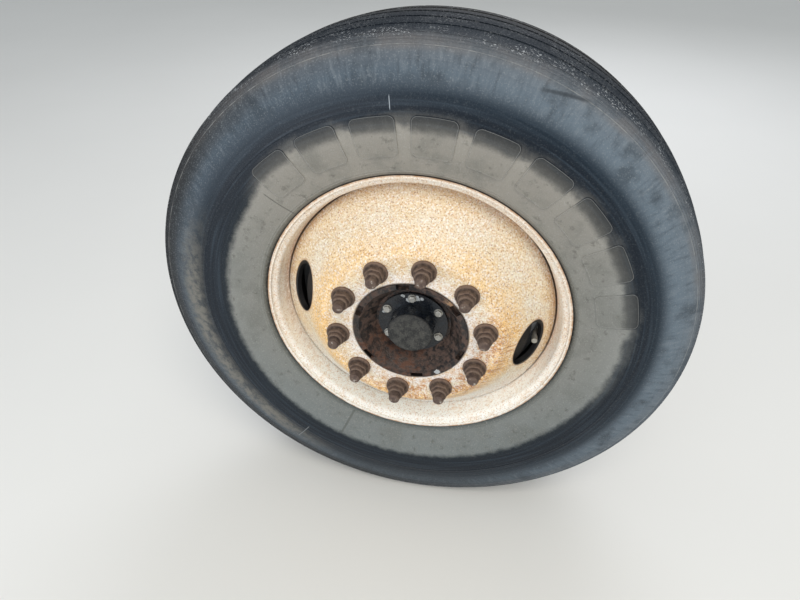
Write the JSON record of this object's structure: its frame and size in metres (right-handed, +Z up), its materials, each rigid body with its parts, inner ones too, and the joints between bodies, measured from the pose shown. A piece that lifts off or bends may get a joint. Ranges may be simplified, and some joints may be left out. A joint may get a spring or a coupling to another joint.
{
  "type": "truck front wheel with hub, brake drum and steering knuckle",
  "caption": "Steel disc wheel and heavy tyre of a truck's front axle, turning on its steering knuckle's spindle with hub, brake drum and brake gear.",
  "frame": {"origin": "where the kingpin axis crosses the spindle axis", "axes": "+Z up, -Y outboard along the spindle, +X towards the front of the truck"},
  "size_m": [1.0538, 0.561, 1.054],
  "materials": {
    "tyre": "weathered rubber",
    "wheel_paint": "cream enamel with rust speckle",
    "rusty_steel": "brown rust",
    "hub_iron": "rusty cast iron",
    "cap_black": "dusty black enamel",
    "plated_steel": "dull zinc plating",
    "brass_valve": "dull nickel plating",
    "bright_steel": "ground",
    "forging": "black chassis paint with road dirt",
    "shield_sheet": "dusty black paint"
  },
  "bodies": {
    "knuckle": {"knuckle": "forging", "knuckle_bolts": "rusty_steel", "spindle_nut": "bright_steel", "tie_rod_arm": "forging", "arm_bolts": "rusty_steel", "brake_spider": "forging", "dust_shield": "shield_sheet", "cam_bracket": "forging", "camshaft": "rusty_steel", "slack_adjuster": "hub_iron", "brake_chamber": "forging", "push_rod": "plated_steel"},
    "wheel": {"tyre": "tyre", "rim": "wheel_paint", "wheel_disc": "wheel_paint", "valve_stem": "brass_valve", "wheel_studs": "rusty_steel", "wheel_nuts": "rusty_steel", "brake_drum": "hub_iron", "hub": "hub_iron", "inner_bearing": "bright_steel", "outer_bearing": "bright_steel", "hub_cap": "cap_black", "cap_bolts": "plated_steel"}
  },
  "joints": [
    {"name": "wheel_spin", "type": "hinge", "parent": "knuckle", "child": "wheel", "pos_m": [0, -0.182, 0], "axis": [0, 1, 0], "continuous": true}
  ]
}
